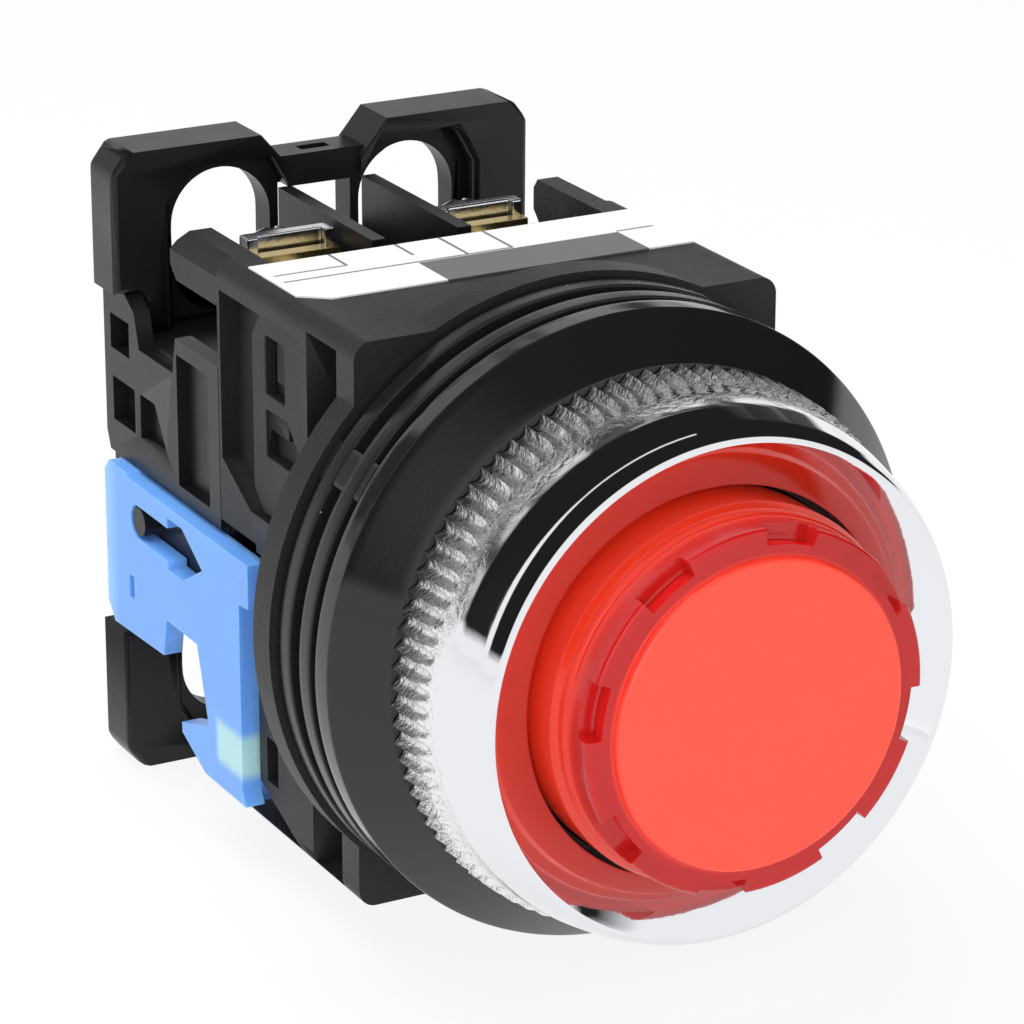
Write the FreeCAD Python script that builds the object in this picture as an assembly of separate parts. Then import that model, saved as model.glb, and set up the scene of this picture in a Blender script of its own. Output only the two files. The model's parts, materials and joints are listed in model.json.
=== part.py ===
import FreeCAD
import Part
import math
import os
from FreeCAD import Vector

# Illuminated industrial push button for a 30 mm panel hole, in millimetres.
# +Z is up, the button faces -Y, and the origin is on the button's axis where
# the gasket's sealing face meets the front of the panel.

# Fits
thread_gap = 0.05        # sleeve thread, stood in for by plain cylinders
slide_gap = 0.15         # plunger in the sleeve, all round
soft_gap = 0.2           # gasket and spacer rings around the sleeve
part_gap = 0.1           # moulded pieces laid into one another
free_gap = 0.3           # pieces that pass each other without touching

# Front of the button
travel = 4.0
lens_r = 12.6
lens_skirt_r = 13.15
lens_wall = 1.25
lens_face_thick = 1.1
lens_face_r = 10.65      # bright centre, which stands proud of the rim
lens_face_proud = 0.6
lens_length = 7.8
lens_skirt_length = 4.0
lens_stand = 3.7         # lens rim in front of the bezel's lip
notch_count = 8
notch_angle = 17.0
notch_from = 34.0        # first notch, turned up from +X
notch_depth = 1.2
notch_radial = 1.0
diffuser_thick = 1.0
holder_r = 12.9
holder_wall = 1.4

# Bezel ring, gasket and spacer rings
bezel_r = 19.5
bezel_band_r = 18.9
bezel_lip_r = 17.1
bezel_depth = 10.2
knurl_length = 3.4
knurl_count = 92
knurl_depth = 0.5
dish_depth = 2.2
bezel_bore_wall = 1.6
gasket_r = 22.4
gasket_cone_depth = 3.2
gasket_rim = 2.0
gasket_cone_r = 19.3
spacer_count = 2
spacer_thick = 2.97
spacer_rim_from = 0.7
spacer_rim_to = 2.25
spacer_body_r = 21.5
key_angle = 145.0        # moulded key across the rings, seen from the front
key_width = 2.6

# Operator housing
sleeve_r = 14.9
flange_r = 22.8
flange_thick = 2.5
block_half_width = 16.3
block_top = 20.3
block_bottom = -20.6
block_length = 21.6
block_wall = 2.3
block_corner = 1.3
sleeve_front_gap = 0.3
stop_flange_r = 13.7
stop_flange_thick = 2.0
seat_wall = 1.5
top_rear_cut = 2.6       # top wall stops short of the rear of the block
ear_width = 3.0
ear_length = 7.9
ear_height = 3.4
label_thick = 0.12
label_depth = 9.2
label_side = 1.1
label_corner = 2.0

# Contact case behind the housing
case_length = 18.6
case_half_height = 10.0
case_half_width = 15.2
case_wall = 1.6
side_plate_rear = 20.4   # side plates run past the case
side_plate_top = 13.2
terminal_x = 7.7
terminal_z = 16.0
bay_block_height = 7.0
bay_rib_height = 9.9
bay_wall = 1.1
bay_wall_x = 2.9
guard_depth = 4.5
guard_half_width = 17.2
guard_inner_x = 3.0
guard_top = 24.0
guard_bottom = -24.5
guard_hole_r = 4.0
guard_hole_height = 11.0
guard_web = 1.3
hood_depth = 2.0

# Electrical pieces
screw_r = 1.75
screw_head_r = 3.2
screw_head_thick = 2.6
screw_length = 6.0
screw_slot = 0.8
clamp_size = 7.0
clamp_thick = 1.0
plate_thick = 1.2
plate_width = 6.6
plate_top = 18.4
contact_x = -10.2
contact_z = 5.2
contact_tip_r = 1.5
contact_tip_thick = 0.8
bridge_thick = 1.0
bridge_width = 3.4
plunger_width = 2.6
plunger_height = 4.0
return_spring_r = 8.2
return_wire = 0.9
return_turns = 5
contact_spring_r = 1.6
contact_wire = 0.4
contact_turns = 6
socket_r = 6.4
socket_bore = 4.75
lamp_base_r = 4.6
lamp_base_length = 8.5
lamp_globe_r = 4.0
lamp_globe_length = 13.0
lamp_floor = 1.5
lamp_pin_r = 1.5
lamp_contact_thick = 0.6

# Lock lever
lever_thick = 1.5
lever_travel = 3.0
lever_pin_r = 1.1
foot_reach = 2.3

# Places along the axis, worked out from the stack
bezel_rear = -gasket_cone_depth
bezel_front = bezel_rear - bezel_depth
dish_floor = bezel_front + dish_depth
sleeve_front = dish_floor + bezel_bore_wall + sleeve_front_gap
lens_front = bezel_front - lens_stand
lens_rear = lens_front + lens_length
spacer_front = gasket_rim
flange_front = spacer_front + spacer_count * spacer_thick
flange_rear = flange_front + flange_thick
block_rear = flange_front + block_length
holder_shoulder = lens_rear
holder_stop = 4.0
holder_rear = holder_stop + stop_flange_thick
seat_front = holder_rear + travel + 5.5
seat_rear = seat_front + seat_wall
case_front = block_rear
case_rear = case_front + case_length
guard_rear = case_front + side_plate_rear
guard_front = guard_rear - guard_depth
plate_front = case_front + 4.5
plate_rear = plate_front + plate_thick
screw_head_front = plate_rear + clamp_thick + 0.5
tip_rear = plate_rear + contact_tip_thick
bridge_rear = tip_rear + bridge_thick
sleeve_bore = holder_r + slide_gap
rear_bore = stop_flange_r + free_gap
bezel_bore = lens_skirt_r + 0.45
neck_r = lens_r - lens_wall - part_gap
socket_front = holder_stop + 0.6
lamp_front = socket_front + 0.4
lamp_rear = lamp_front + lamp_base_length
lever_outer = guard_half_width + 0.1
lever_inner = lever_outer - lever_thick
lever_wall = lever_inner - part_gap


def box(x0, x1, y0, y1, z0, z1):
    return Part.makeBox(x1 - x0, y1 - y0, z1 - z0, Vector(x0, y0, z0))


def rod(r, y0, y1, x=0.0, z=0.0):
    return Part.makeCylinder(r, y1 - y0, Vector(x, y0, z), Vector(0, 1, 0))


def tube(r_out, r_in, y0, y1, x=0.0, z=0.0):
    return rod(r_out, y0, y1, x, z).cut(rod(r_in, y0 - 1, y1 + 1, x, z))


def turned(points):
    """Solid of revolution about the Y axis from (radius, y) corners."""
    corners = [Vector(r, y, 0) for r, y in points]
    face = Part.Face(Part.makePolygon(corners + corners[:1]))
    return face.revolve(Vector(0, 0, 0), Vector(0, 1, 0), 360)


def side_prism(points, x0, x1):
    """Prism along X from (y, z) corners."""
    corners = [Vector(x0, y, z) for y, z in points]
    face = Part.Face(Part.makePolygon(corners + corners[:1]))
    return face.extrude(Vector(x1 - x0, 0, 0))


def front_prism(points, y0, y1):
    """Prism along Y from (x, z) corners."""
    corners = [Vector(x, y0, z) for x, z in points]
    face = Part.Face(Part.makePolygon(corners + corners[:1]))
    return face.extrude(Vector(0, y1 - y0, 0))


def slot_prism(x, z0, z1, r, y0, y1):
    """Upright oblong of radius r between heights z0 and z1, along Y."""
    low, high = z0 + r, z1 - r
    middle = box(x - r, x + r, y0, y1, low, high)
    return middle.fuse([rod(r, y0, y1, x, low), rod(r, y0, y1, x, high)]).removeSplitter()


def round_edges(shape, radius, keep):
    """Fillet the edges that the test keeps."""
    edges = [e for e in shape.Edges if keep(e)]
    return shape.makeFillet(radius, edges)


def along_y(edge):
    t = edge.Vertexes[-1].Point.sub(edge.Vertexes[0].Point)
    return t.Length > 1.0 and abs(t.y) > 0.999 * t.Length


def mirror_z(shape):
    return shape.mirror(Vector(0, 0, 0), Vector(0, 0, 1))


def coil(radius, wire, turns, y0, y1, x=0.0, z=0.0):
    """Compression spring along Y, ends flush with y0 and y1, made of half turns tilted in turn."""
    rise = (y1 - y0 - wire) / (2 * turns)
    halves = []
    for k in range(2 * turns):
        side = 1 if k % 2 == 0 else -1
        start = Vector(x + side * radius, y0 + wire / 2 + k * rise, z)
        centre = Vector(x, start.y + rise / 2, z)
        section = Part.Face(Part.Wire([Part.makeCircle(wire / 2, start, Vector(0, 0, 1))]))
        halves.append(section.revolve(centre, Vector(side * rise / 2, radius, 0), 180))
    return halves[0].fuse(halves[1:]).removeSplitter()


def key_block(r_in, r_out, y0, y1):
    """Short web at the moulded key's angle, between two radii."""
    web = box(r_in - 1, r_out + 1, y0, y1, -key_width / 2, key_width / 2)
    web.rotate(Vector(0, 0, 0), Vector(0, 1, 0), -key_angle)
    return web.common(tube(r_out, r_in, y0, y1))


def make_lens_cap():
    inner = lens_r - lens_wall
    face_back = lens_front + lens_face_thick
    cap = turned([
        (0, lens_front - lens_face_proud), (lens_face_r - 0.3, lens_front - lens_face_proud),
        (lens_face_r, lens_front - lens_face_proud + 0.3), (lens_face_r, lens_front),
        (lens_r - 0.3, lens_front), (lens_r, lens_front + 0.3),
        (lens_r, lens_rear - lens_skirt_length - 0.4), (lens_skirt_r, lens_rear - lens_skirt_length),
        (lens_skirt_r, lens_rear), (inner, lens_rear), (inner, face_back), (0, face_back)])
    half = math.radians(notch_angle / 2)
    for k in range(notch_count):
        notch = box(lens_r - notch_radial, lens_r + 1, lens_front - 1, lens_front + notch_depth,
                    -lens_r * math.sin(half), lens_r * math.sin(half))
        notch.rotate(Vector(0, 0, 0), Vector(0, 1, 0), -notch_from - k * 360.0 / notch_count)
        cap = cap.cut(notch)
    return cap


def make_diffuser():
    front = lens_front + lens_face_thick + part_gap / 2
    r = lens_r - lens_wall - part_gap
    return turned([(0, front), (r - 0.3, front), (r, front + 0.3), (r, front + diffuser_thick),
                   (0, front + diffuser_thick)])


def make_lens_holder():
    neck_front = lens_front + lens_face_thick + part_gap / 2 + diffuser_thick
    body = turned([
        (neck_r - holder_wall, neck_front), (neck_r, neck_front), (neck_r, holder_shoulder),
        (holder_r, holder_shoulder), (holder_r, holder_stop), (stop_flange_r, holder_stop),
        (stop_flange_r, holder_rear), (holder_r - holder_wall, holder_rear),
        (holder_r - holder_wall, holder_stop), (return_spring_r - 1.0, holder_stop),
        (return_spring_r - 1.0, holder_stop - 1.2), (neck_r - holder_wall, holder_stop - 1.2)])
    push_leg = box(contact_x - plunger_width / 2, contact_x + plunger_width / 2,
                   holder_stop, seat_rear + 0.5, -plunger_height / 2, plunger_height / 2)
    return body.fuse([push_leg]).removeSplitter()


def make_plunger_seal():
    return turned([(sleeve_bore, -1.0), (sleeve_bore + 0.7, -1.0), (sleeve_bore + 0.7, 0.6),
                   (sleeve_bore, 0.6)])


def make_bezel_ring():
    thread_r = sleeve_r + thread_gap
    band_front = bezel_rear + knurl_length
    shell = turned([
        (thread_r, bezel_rear), (bezel_band_r - 0.3, bezel_rear), (bezel_band_r, bezel_rear - 0.3),
        (bezel_band_r, band_front - 8.4), (bezel_band_r - 0.35, band_front - 10.6),
        (bezel_lip_r + 0.9, bezel_front + 0.5), (bezel_lip_r + 0.35, bezel_front),
        (bezel_lip_r, bezel_front + 0.1), (bezel_bore, dish_floor),
        (bezel_bore, dish_floor + bezel_bore_wall), (thread_r, dish_floor + bezel_bore_wall)])
    corners = []
    for k in range(2 * knurl_count):
        r = bezel_r if k % 2 == 0 else bezel_r - knurl_depth
        a = math.pi * k / knurl_count
        corners.append((r * math.cos(a), r * math.sin(a)))
    knurl = front_prism(corners, bezel_rear - knurl_length, bezel_rear)
    trim = turned([(0, bezel_rear), (bezel_r - 0.4, bezel_rear), (bezel_r, bezel_rear - 0.4),
                   (bezel_r, bezel_rear - knurl_length + 0.6),
                   (bezel_band_r, bezel_rear - knurl_length), (0, bezel_rear - knurl_length)])
    knurl = knurl.common(trim).cut(rod(thread_r, bezel_rear - knurl_length - 1, bezel_rear + 1))
    return shell.fuse([knurl]).removeSplitter()


def make_gasket():
    bore = sleeve_r + soft_gap
    return turned([(bore, bezel_rear), (gasket_cone_r, bezel_rear), (gasket_r - 0.2, -0.3),
                   (gasket_r, 0.0), (gasket_r, gasket_rim), (bore, gasket_rim)])


def make_spacer_ring(y0):
    bore = sleeve_r + soft_gap
    ring = turned([
        (bore, y0), (spacer_body_r, y0), (spacer_body_r, y0 + spacer_rim_from),
        (gasket_r, y0 + spacer_rim_from), (gasket_r, y0 + spacer_rim_to),
        (spacer_body_r, y0 + spacer_rim_to), (spacer_body_r, y0 + spacer_thick),
        (bore, y0 + spacer_thick)])
    return ring.fuse([key_block(spacer_body_r - 0.5, gasket_r, y0, y0 + spacer_thick)]).removeSplitter()


def corner_pocket(side, z0, z1):
    """Deep pocket in the block's side, between the front column and the side recess."""
    x0, x1 = sorted((side * (block_half_width + 1), side * (sleeve_r - 2.4)))
    return box(x0, x1, flange_front + 2.6, flange_front + 7.2, z0, z1)


def make_operator_housing():
    w, rear = block_half_width, block_rear
    block = box(-w, w, flange_front, rear, block_bottom, block_top)
    block = round_edges(block, block_corner, along_y)
    body = block.fuse([rod(flange_r, flange_front, flange_rear), rod(sleeve_r, sleeve_front, rear)])
    body = body.cut(rod(sleeve_bore, sleeve_front - 1, holder_stop))
    body = body.cut(rod(lens_skirt_r + slide_gap, sleeve_front - 1, lens_rear + travel + free_gap))
    body = body.cut(rod(rear_bore, holder_stop - 0.1, seat_front))
    body = body.cut(rod(sleeve_bore + 0.7, -1.0, 0.6))
    body = body.cut(rod(socket_r + free_gap, seat_front - 1, seat_rear + 1))
    leg = plunger_width / 2 + free_gap
    body = body.cut(box(contact_x - leg, contact_x + leg, seat_front - 1, seat_rear + 1,
                        -plunger_height / 2 - free_gap, plunger_height / 2 + free_gap))
    inner_w, inner_h = w - block_wall, block_top - block_wall - 0.5
    body = body.cut(box(-inner_w, inner_w, seat_rear, rear + 1, -inner_h, inner_h))
    ear_inner = w - ear_width
    cut_z = block_top - ear_height
    body = body.cut(box(-ear_inner, ear_inner, rear - top_rear_cut, rear + 1, cut_z, block_top + 1))
    body = body.cut(box(-ear_inner, ear_inner, rear - top_rear_cut, rear + 1, block_bottom - 1, -cut_z))
    tip = rear + ear_length
    for side in (-1, 1):
        section = [(side * ear_inner, cut_z), (side * w, cut_z), (side * w, block_top - block_corner),
                   (side * (w - block_corner), block_top), (side * ear_inner, block_top)]
        ear = front_prism(section, rear - top_rear_cut, tip)
        nose = side_prism([(tip - 2.0, cut_z - 1), (tip + 1, cut_z - 1), (tip + 1, cut_z + 2.0)],
                          -w - 1, w + 1)
        nose_top = side_prism([(tip - 1.0, block_top + 0.5), (tip + 1, block_top + 0.5),
                               (tip + 1, block_top - 2.0)], -w - 1, w + 1)
        body = body.fuse([ear.cut(nose).cut(nose_top)])
        body = body.cut(corner_pocket(side, 11.5, block_top - 1.2))
        body = body.cut(corner_pocket(side, block_bottom + 0.6, -12.5))
        recess_x = sorted((side * (w + 1), side * (w - 1.4)))
        recess = side_prism([(flange_front + 8.2, 18.2), (rear - 0.4, 18.2), (rear - 0.4, 5.8),
                             (rear - 5.0, 3.2), (flange_front + 8.2, 3.2)], recess_x[0], recess_x[1])
        body = body.cut(recess)
    foot_cut = side_prism([(rear - 5.8, 1.0), (rear + 1, 1.0), (rear + 1, block_bottom + 0.7),
                           (flange_front + 9.0, block_bottom + 0.7), (rear - 5.8, -17.0)],
                          -w - 1, -lever_inner + foot_reach + free_gap)
    body = body.cut(foot_cut)
    body = body.cut(box(-w - 1, -lever_wall, rear - 6.6, rear + 1, -4.0, 0.4))
    body = body.cut(box(-w - 1, -inner_w + 1, rear - 8.8, rear - 7.0, -16.6, -13.2))
    body = body.cut(box(-w - 1, w + 1, rear - 2.0, rear + 1, block_bottom - 1, block_bottom + 0.7))
    return body.removeSplitter()


def make_latch_plate(side):
    """Snap plate laid into the side recess, with two windows and their blocks."""
    w = block_half_width
    y0, y1 = flange_front + 8.2 + part_gap, flange_front + 17.0
    z0, z1 = 3.2 + part_gap, 18.2 - part_gap
    deep = w - 1.4 + 0.9
    x0, x1 = sorted((side * (w - 1.4), side * deep))
    plate = side_prism([(y0, z0), (y1 - 1.5, z0), (y1, z0 + 1.5), (y1, z1 - 2.0), (y1 - 1.5, z1),
                        (y0, z1)], x0, x1)
    plate = plate.cut(box(x0 - 1, x1 + 1, y1 - 5.2, y1 - 2.2, 12.4, 16.6))
    plate = plate.cut(side_prism([(y1 - 8.6, 7.8), (y1 - 2.2, 7.8), (y1 - 2.2, 11.2), (y1 - 5.6, 11.2)],
                                 x0 - 1, x1 + 1))
    block_x = sorted((side * (w - 1.4), side * (deep - 0.4)))
    plate = plate.fuse([box(block_x[0], block_x[1], y1 - 5.2, y1 - 3.2, 13.4, 16.6),
                        box(block_x[0], block_x[1], y1 - 5.0, y1 - 2.2, 9.6, 11.2)])
    return plate.removeSplitter()


def make_label():
    w = block_half_width
    rear = block_rear - top_rear_cut - 0.4
    front = rear - label_depth
    z0 = block_top
    corners = [Vector(x, y, z0) for x, y in (
        (-w + label_side, rear), (w - label_side, rear), (w - label_side, front),
        (-w + label_side + label_corner, front), (-w + label_side, front + label_corner * 0.8))]
    face = Part.Face(Part.makePolygon(corners + corners[:1]))
    return face.extrude(Vector(0, 0, label_thick))


def make_contact_case():
    w, h, wall = case_half_width, case_half_height, case_wall
    front, rear = case_front, case_rear
    body = box(-w, w, front, rear, -h, h)
    body = body.cut(box(-w + wall, w - wall, front + wall, rear - wall, -h + wall, h - wall))
    body = body.cut(rod(socket_bore, front - 1, front + wall + 1))
    leg = plunger_width / 2 + free_gap
    high = plunger_height / 2 + free_gap
    body = body.cut(box(contact_x - leg, contact_x + leg, front - 1, front + wall + 1, -high, high))
    bay_top, rib_top = h + bay_block_height, h + bay_rib_height
    for flip in (1, -1):
        pieces = []
        for side in (-1, 1):
            x0, x1 = sorted((side * (bay_wall_x + bay_wall), side * (w - 2.0)))
            pieces.append(box(x0, x1, front + 0.2, plate_front, h, bay_top))
            x0, x1 = sorted((side * bay_wall_x, side * (bay_wall_x + bay_wall)))
            pieces.append(box(x0, x1, front + 0.2, guard_front - 0.2, h, rib_top))
        pieces.append(box(-w + 2.0, w - 2.0, front + 0.2, front + 1.6, h, bay_top))
        if flip < 0:
            pieces = [mirror_z(p) for p in pieces]
        body = body.fuse(pieces)
    for x in (-terminal_x, terminal_x):
        for z in (-terminal_z, terminal_z):
            body = body.cut(rod(screw_r + part_gap / 2, screw_head_front - screw_length - 0.1, plate_front + 1, x, z))
    for flip in (1, -1):
        for side in (-1, 1):
            x0, x1 = sorted((side * (terminal_x - plate_width / 2 - part_gap),
                             side * (terminal_x + plate_width / 2 + part_gap)))
            z0, z1 = sorted((flip * (h - wall - 1), flip * (h + 1)))
            body = body.cut(box(x0, x1, plate_front, plate_rear + part_gap, z0, z1))
    body = body.fuse(side_walls())
    return body.removeSplitter()


def side_walls():
    """Outer side plates of the case, pocketed and windowed, with the lever's pin on the left."""
    w, outer = case_half_width, block_half_width
    front, rear = case_front + 0.1, guard_rear
    upper = [(front, 0.2), (rear - 0.6, 0.2), (rear, 1.6), (rear, side_plate_top), (rear - 4.0, side_plate_top),
             (rear - 5.6, 12.2), (rear - 6.4, 9.6), (rear - 12.4, 9.6), (rear - 13.0, 12.4),
             (front, 12.4)]
    lower = [(front, 0.2), (front, -10.0), (rear - 0.6, -10.0), (rear, -8.0), (rear, 0.2)]
    walls = []
    for side in (-1, 1):
        x0, x1 = sorted((side * (w - 0.2), side * outer))
        plate = side_prism(upper, x0, x1)
        plate = plate.cut(box(x0 - 1, x1 + 1, rear - 4.6, rear - 1.2, 8.4, 11.1))
        plate = plate.cut(box(x0 - 1, x1 + 1, rear - 5.4, rear - 1.4, 2.8, 6.2))
        pocket_x = sorted((side * (w + 0.3), side * (outer + 1)))
        plate = plate.cut(box(pocket_x[0], pocket_x[1], front + 1.8, front + 7.2, 1.2, 11.2))
        plate = plate.cut(side_prism([(rear - 11.2, 2.8), (rear - 6.4, 2.8), (rear - 6.4, 6.2),
                                      (rear - 9.0, 6.2)], pocket_x[0], pocket_x[1]))
        walls.append(plate)
    walls.append(side_prism(lower, -lever_wall, -w + 0.2))
    walls.append(side_prism(lower, w - 0.2, outer))
    pin = Part.makeCylinder(lever_pin_r, lever_outer - lever_wall - 0.1,
                            Vector(-lever_wall, rear - 7.6, -3.3), Vector(-1, 0, 0))
    walls.append(pin)
    return walls


def make_guard(flip):
    """Rear guard with two hooded arches, a slotted bridge and a web on the case's rear wall."""
    w, top = guard_half_width, guard_top if flip > 0 else -guard_bottom
    front, rear = guard_front, guard_rear
    leg_z = side_plate_top + part_gap
    pieces = []
    for side in (-1, 1):
        outer, inner = side * w, side * guard_inner_x
        step = side * (case_half_width - 0.4)
        arch = front_prism([(inner, leg_z - 3.0), (step, leg_z - 3.0), (step, leg_z), (outer, leg_z),
                            (outer, top - 1.6),
                            (outer - side * 1.2, top), (inner + side * 2.2, top),
                            (inner, top - 2.6)], front, rear)
        pieces.append(arch)
    bridge = box(-guard_inner_x - 0.5, guard_inner_x + 0.5, front + 0.6, rear - 0.8, top - 4.4, top - 2.0)
    bridge = bridge.cut(box(-1.2, 1.2, front + 1.6, rear - 1.8, top - 6.0, top))
    web = box(-case_half_width + 0.2, case_half_width - 0.2, case_rear, case_rear + guard_web, 5.0, leg_z + 2)
    body = pieces[0].fuse(pieces[1:] + [bridge, web])
    for side in (-1, 1):
        x = side * terminal_x
        hole_low = top - 2.6 - guard_hole_height
        body = body.cut(slot_prism(x, hole_low, hole_low + guard_hole_height, guard_hole_r,
                                   front - 1, rear + 1))
        hood = front_prism([(x - 4.9, 9.0), (x + 4.9, 9.0), (x + 4.9, top - 4.4), (x + 3.4, top - 1.7),
                            (x - 3.4, top - 1.7), (x - 4.9, top - 4.4)], front - 1, front + hood_depth)
        body = body.cut(hood)
    body = body.removeSplitter()
    return body if flip > 0 else mirror_z(body)


def make_lock_lever():
    """Sliding lever on the left side: slotted plate, hanging column and an inward foot."""
    rear, x0, x1 = guard_rear - 1.6, -lever_outer, -lever_inner
    outline = [(rear, -0.9), (rear - 0.8, 0.0), (rear - 4.0, 0.0), (rear - 4.4, -0.3),
               (case_front - 6.4, -0.3), (case_front - 6.4, -3.6), (case_front - 4.8, -3.8),
               (case_front - 4.8, -18.0), (case_front - 5.4, -19.2), (case_front + 1.6, -19.2),
               (case_front + 5.6, -17.4), (case_front + 5.6, -16.6), (case_front + 0.8, -15.2),
               (case_front + 2.6, -9.4), (case_front + 8.0, -9.4), (case_front + 8.6, -12.4),
               (rear - 1.2, -12.8), (rear, -11.4)]
    plate = side_prism(outline, x0, x1)
    pin_y = guard_rear - 7.6
    slot_r = lever_pin_r + 0.2
    slot = box(x0 - 1, x1 + 1, pin_y - lever_travel - 5.0, pin_y, -3.3 - slot_r, -3.3 + slot_r)
    end = Part.makeCylinder(slot_r, lever_thick + 2, Vector(x0 - 1, pin_y, -3.3), Vector(1, 0, 0))
    chevron = side_prism([(pin_y - 11.4, -3.3), (pin_y - 8.0, -1.2), (pin_y - 5.4, -1.2),
                          (pin_y - 5.4, -5.2), (pin_y - 8.0, -5.2)], x0 - 1, x1 + 1)
    window = box(x0 - 1, x1 + 1, pin_y + 1.0, pin_y + 1.9, -9.8, -8.0)
    plate = plate.cut(slot).cut(end).cut(chevron).cut(window)
    foot = side_prism([(case_front - 4.8, -17.4), (case_front - 4.8, -19.2), (case_front + 1.6, -19.2),
                       (case_front + 5.6, -17.4)], -lever_inner - 0.01, -lever_inner + foot_reach)
    return plate.fuse([foot]).removeSplitter()


def make_terminal_plate(x, flip, inner_x, inner_z):
    """Brass plate that the wire clamp presses on, with its tail down into the case."""
    half = plate_width / 2
    upper = box(x - half, x + half, plate_front, plate_rear, case_half_height - 2.5, plate_top)
    lean = [(x - half, case_half_height - 2.4), (x + half, case_half_height - 2.4),
            (inner_x + 1.7, inner_z - 1.8), (inner_x - 1.7, inner_z - 1.8)]
    plate = upper.fuse([front_prism(lean, plate_front, plate_rear)])
    plate = plate.cut(rod(screw_r, plate_front - 1, plate_rear + 1, x, terminal_z)).removeSplitter()
    return plate if flip > 0 else mirror_z(plate)


def make_terminal_screw(x, z):
    head_rear = screw_head_front + screw_head_thick
    shank = rod(screw_r - 0.02, screw_head_front - screw_length, screw_head_front, x, z)
    head = rod(screw_head_r, screw_head_front, head_rear, x, z)
    rim = [e for e in head.Edges if abs(e.BoundBox.YMin - head_rear) < 0.01 and e.BoundBox.XLength > 1]
    head = head.makeFillet(1.0, rim)
    head = head.cut(box(x - screw_head_r, x + screw_head_r, head_rear - 1.3, head_rear + 1,
                        z - screw_slot / 2, z + screw_slot / 2))
    head = head.cut(box(x - screw_slot / 2, x + screw_slot / 2, head_rear - 1.3, head_rear + 1,
                        z - screw_head_r, z + screw_head_r))
    return shank.fuse([head]).removeSplitter()


def make_clamp_washer(x, z):
    """Square saddle washer with two turned-down edges that hold the wires."""
    half = clamp_size / 2
    y0 = plate_rear + 0.5
    body = box(x - half, x + half, y0, y0 + clamp_thick, z - half, z + half)
    for side in (-1, 1):
        x0, x1 = sorted((x + side * half, x + side * (half - 0.9)))
        body = body.fuse([box(x0, x1, plate_rear, y0, z - half, z + half)])
    return body.cut(rod(screw_r, y0 - 2, y0 + clamp_thick + 1, x, z)).removeSplitter()


def make_contact_plunger():
    half, high = plunger_width / 2, plunger_height / 2
    front = seat_rear + 0.5
    bar = box(contact_x - half, contact_x + half, front, tip_rear, -high, high)
    stem = box(contact_x - half + 0.6, contact_x + half - 0.6, tip_rear, bridge_rear + 1.2, -1.0, 1.0)
    return bar.fuse([stem]).removeSplitter()


def make_moving_contact():
    reach = contact_z + 2.0
    half = bridge_width / 2
    bridge = box(contact_x - half, contact_x + half, tip_rear, bridge_rear, -reach, reach)
    return bridge.cut(box(contact_x - plunger_width / 2 + 0.55, contact_x + plunger_width / 2 - 0.55,
                          tip_rear - 1, bridge_rear + 1, -1.05, 1.05))


def make_fixed_tip(flip):
    return rod(contact_tip_r, plate_rear, tip_rear, contact_x, flip * contact_z)


def make_lamp_socket():
    body = tube(socket_r, socket_bore, socket_front, case_front)
    spigot = tube(socket_bore, lamp_pin_r + 0.1, case_front, case_front + case_wall)
    floor = tube(socket_bore, lamp_pin_r + 0.1, lamp_rear + lamp_contact_thick,
                 lamp_rear + lamp_contact_thick + lamp_floor)
    rear_wall = tube(socket_bore, lamp_pin_r + 0.1, case_front - lamp_floor, case_front)
    return body.fuse([spigot, floor, rear_wall]).removeSplitter()


def make_lamp_base():
    shell = rod(lamp_base_r, lamp_front, lamp_rear)
    return shell.cut(rod(lamp_globe_r + part_gap / 2, lamp_front - 1, lamp_rear - 1.0))


def make_lamp_globe():
    tip = lamp_front - lamp_globe_length
    neck = rod(lamp_globe_r, tip + lamp_globe_r, lamp_rear - 1.2)
    return neck.fuse([Part.makeSphere(lamp_globe_r, Vector(0, tip + lamp_globe_r, 0))]).removeSplitter()


def make_lamp_contact():
    disc = rod(lamp_pin_r + 1.1, lamp_rear, lamp_rear + lamp_contact_thick)
    stem = rod(lamp_pin_r, lamp_rear + lamp_contact_thick, case_front + case_wall)
    return disc.fuse([stem]).removeSplitter()


def make_lamp_strip(flip):
    """Brass strip from the lamp socket's rear to a terminal plate's tail on the right."""
    y0 = case_front + case_wall
    z1 = 6.4
    root = 1.8
    strip = box(root, terminal_x + 1.4, y0, y0 + 0.8, z1 - 2.0, z1)
    rise = box(terminal_x - 1.4, terminal_x + 1.4, y0, plate_front, z1 - 0.8, z1)
    down = box(root, root + 2.4, y0, y0 + 0.8, 0.2, z1)
    strip = strip.fuse([rise, down]).removeSplitter()
    return strip if flip > 0 else mirror_z(strip)


def write(name, shape):
    if not shape.isValid() or shape.Volume <= 0:
        raise RuntimeError(name + " is not a sound solid")
    shape.exportStep("parts/" + name + ".step")
    print(name, "solids", len(shape.Solids), "volume", round(shape.Volume, 2))


os.makedirs("parts", exist_ok=True)
write("lens_cap", make_lens_cap())
write("light_diffuser", make_diffuser())
write("lens_holder", make_lens_holder())
write("plunger_seal", make_plunger_seal())
write("bezel_ring", make_bezel_ring())
write("panel_gasket", make_gasket())
write("spacer_ring_front", make_spacer_ring(spacer_front))
write("spacer_ring_rear", make_spacer_ring(spacer_front + spacer_thick))
write("operator_housing", make_operator_housing())
write("latch_plate_left", make_latch_plate(-1))
write("latch_plate_right", make_latch_plate(1))
write("rating_label", make_label())
write("contact_case", make_contact_case())
write("terminal_guard_top", make_guard(1))
write("terminal_guard_bottom", make_guard(-1))
write("lock_lever", make_lock_lever())
write("return_spring", coil(return_spring_r, return_wire, return_turns, holder_stop, seat_front))
write("lamp_socket", make_lamp_socket())
write("lamp_base", make_lamp_base())
write("lamp_globe", make_lamp_globe())
write("lamp_contact", make_lamp_contact())
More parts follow.
